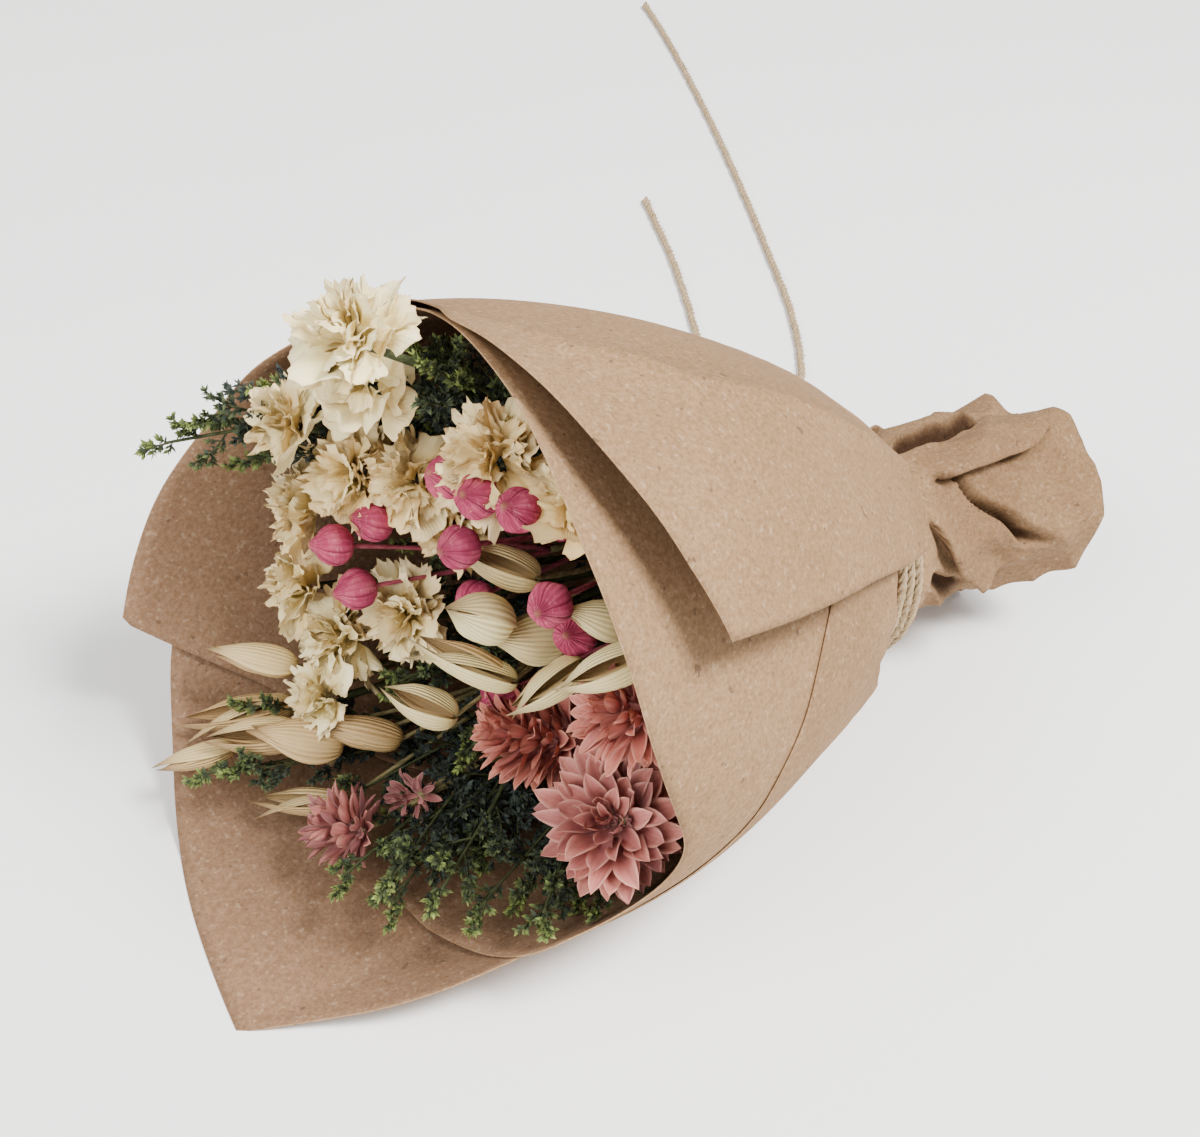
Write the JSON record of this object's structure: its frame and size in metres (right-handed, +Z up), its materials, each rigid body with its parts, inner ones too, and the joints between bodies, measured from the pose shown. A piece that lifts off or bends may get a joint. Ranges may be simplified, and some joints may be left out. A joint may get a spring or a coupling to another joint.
{
  "type": "mixed flower bouquet",
  "caption": "Dried flower bouquet wrapped in kraft paper and tied with twine, lying on its side for display.",
  "frame": {"origin": "middle of the bouquet's outline at table height, measured without the two free twine ends", "axes": "+X from the tied neck towards the flowers, +Z up, +Y towards the side that shows in the picture"},
  "size_m": [0.3484, 0.366, 0.1335],
  "materials": {
    "kraft_paper": "matte",
    "jute_twine": "matte",
    "coral_petal": "matte",
    "cream_petal": "matte",
    "pink_pod": "matte",
    "straw_husk": "matte",
    "green_leaf": "matte"
  },
  "bodies": {
    "root": {"coral_flower_1": "coral_petal", "coral_flower_2": "coral_petal", "coral_flower_3": "coral_petal", "coral_flower_4": "coral_petal", "coral_flower_5": "coral_petal", "cream_flower_1": "cream_petal", "cream_flower_10": "cream_petal", "cream_flower_11": "cream_petal", "cream_flower_12": "cream_petal", "cream_flower_13": "cream_petal", "cream_flower_2": "cream_petal", "cream_flower_3": "cream_petal", "cream_flower_4": "cream_petal", "cream_flower_5": "cream_petal", "cream_flower_6": "cream_petal", "cream_flower_7": "cream_petal", "cream_flower_8": "cream_petal", "cream_flower_9": "cream_petal", "flax_spray_1": "pink_pod", "flax_spray_2": "pink_pod", "flax_spray_3": "pink_pod", "flax_spray_4": "pink_pod", "green_spray_1": "green_leaf", "green_spray_2": "green_leaf", "green_spray_3": "green_leaf", "green_spray_4": "green_leaf", "green_spray_5": "green_leaf", "green_spray_6": "green_leaf", "green_spray_7": "green_leaf", "green_spray_8": "green_leaf", "oat_spray_1": "straw_husk", "oat_spray_2": "straw_husk", "oat_spray_3": "straw_husk", "oat_spray_4": "straw_husk", "oat_spray_5": "straw_husk", "paper_inner_sheet": "kraft_paper", "paper_outer_sheet": "kraft_paper", "twine_end_long": "jute_twine", "twine_end_short": "jute_twine", "twine_tie": "jute_twine"}
  },
  "joints": []
}
